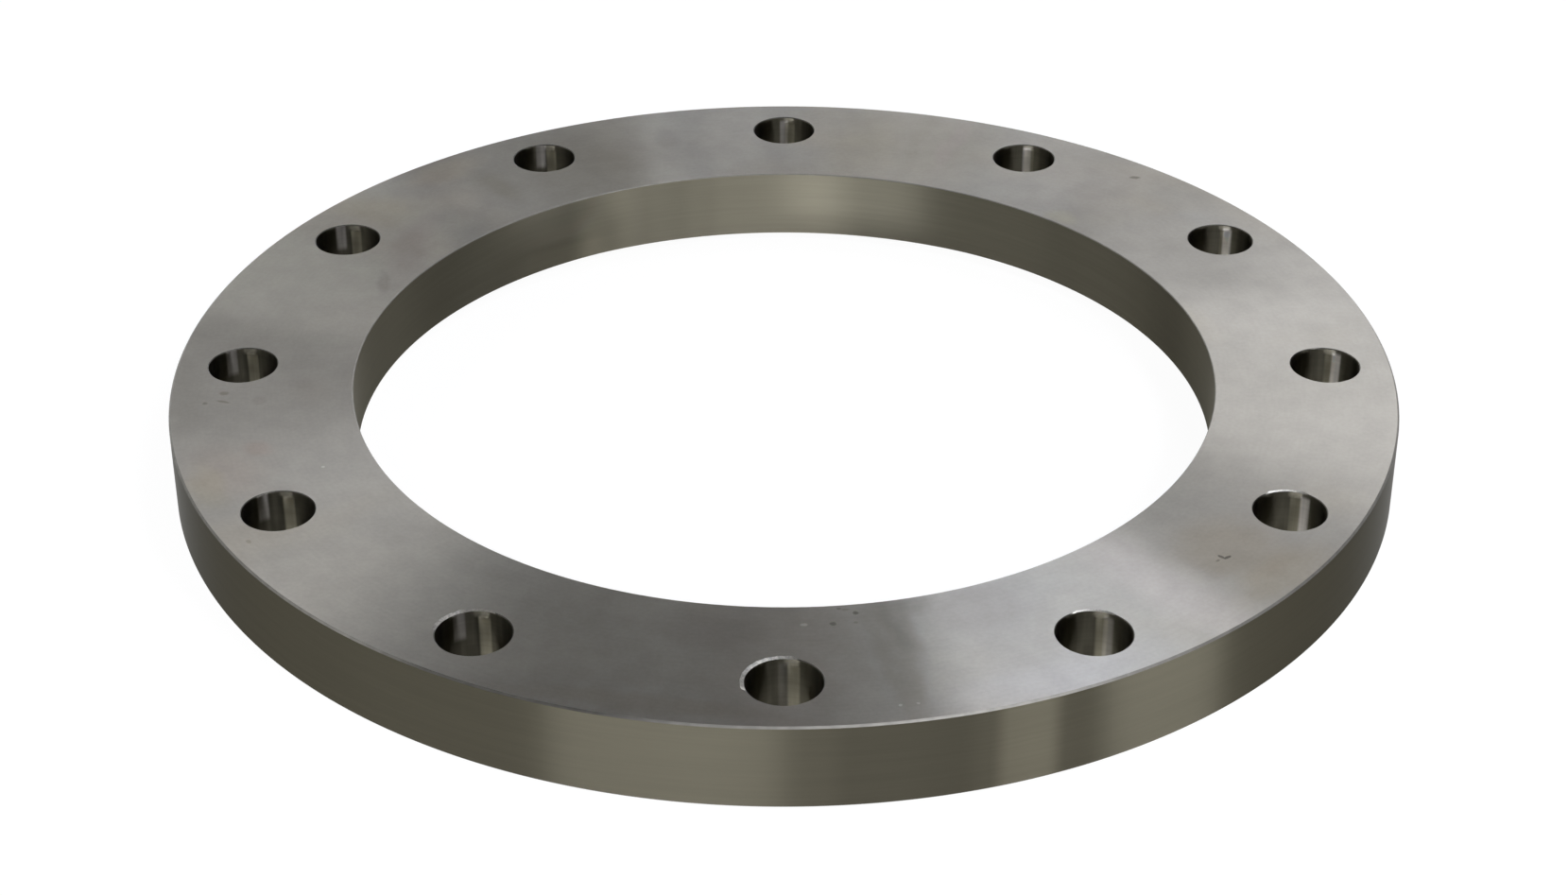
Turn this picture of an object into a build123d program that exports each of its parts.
from build123d import *

import math
import os

# Plate flange: one flat steel ring that slips over a pipe end, is welded to it and bolts up
# to another flange. All sizes are in millimetres and degrees.
# The origin is on the bore's axis in the plane of the back face, +Z points out of the gasket
# face, and one bolt hole lies on +X.

# Pipe and bore
pipe_diameter = 323.9
pipe_clearance = 0.3
bore_edge_break = 0.3

# Plate
thickness = 32.0
rim_edge_break = 0.7

# Bevel that takes the weld, round the bore at the back face
weld_bevel_width = 8.0
weld_bevel_angle = 30.0

# Bolt holes
bore_to_bolt_circle = 42.75
bolt_circle_to_rim = 25.0
bolt_hole_count = 12
bolt_hole_diameter = 26.0
bolt_hole_edge_break = 0.3

# Sizes that follow
bore_radius = pipe_diameter / 2 + pipe_clearance
bolt_circle_radius = bore_radius + bore_to_bolt_circle
rim_radius = bolt_circle_radius + bolt_circle_to_rim
bolt_hole_radius = bolt_hole_diameter / 2
weld_bevel_height = weld_bevel_width * math.tan(math.radians(weld_bevel_angle))


def ring_section():
    """Half of the ring's cross-section, to the right of the axis in the XZ plane.

    The corners run from the foot of the bore wall out along the weld bevel and the back face,
    up the rim, and back along the gasket face to the bore.
    """
    corners = [
        (bore_radius, weld_bevel_height),
        (bore_radius + weld_bevel_width, 0),
        (rim_radius - rim_edge_break, 0),
        (rim_radius, rim_edge_break),
        (rim_radius, thickness - rim_edge_break),
        (rim_radius - rim_edge_break, thickness),
        (bore_radius + bore_edge_break, thickness),
        (bore_radius, thickness - bore_edge_break),
    ]
    with BuildSketch(Plane.XZ) as section:
        with BuildLine():
            Polyline(*corners, close=True)
        make_face()
    return section.sketch


def turned_ring():
    """The section turned round the axis: faces, rim, bore, bevel and edge breaks in one."""
    return revolve(ring_section(), axis=Axis.Z)


def bolt_hole():
    """What one drilled and deburred hole takes away, with its foot on the back face."""
    break_radius = bolt_hole_radius + bolt_hole_edge_break
    corners = [
        (0, 0),
        (break_radius, 0),
        (bolt_hole_radius, bolt_hole_edge_break),
        (bolt_hole_radius, thickness - bolt_hole_edge_break),
        (break_radius, thickness),
        (0, thickness),
    ]
    with BuildSketch(Plane.XZ) as section:
        with BuildLine():
            Polyline(*corners, close=True)
        make_face()
    return revolve(section.sketch, axis=Axis.Z)


def plate_flange():
    """The finished flange: the turned ring less its circle of bolt holes."""
    holes = PolarLocations(bolt_circle_radius, bolt_hole_count) * bolt_hole()
    return turned_ring() - holes


os.makedirs("parts", exist_ok=True)
flange = plate_flange()
export_step(flange, "parts/plate_flange.step")
print("rim diameter", round(2 * rim_radius, 2))
print("bolt circle diameter", round(2 * bolt_circle_radius, 2))
print("bore diameter", round(2 * bore_radius, 2))
print("straight bore wall", round(thickness - bore_edge_break - weld_bevel_height, 3))
print("volume in cubic centimetres", round(flange.volume / 1000, 1))
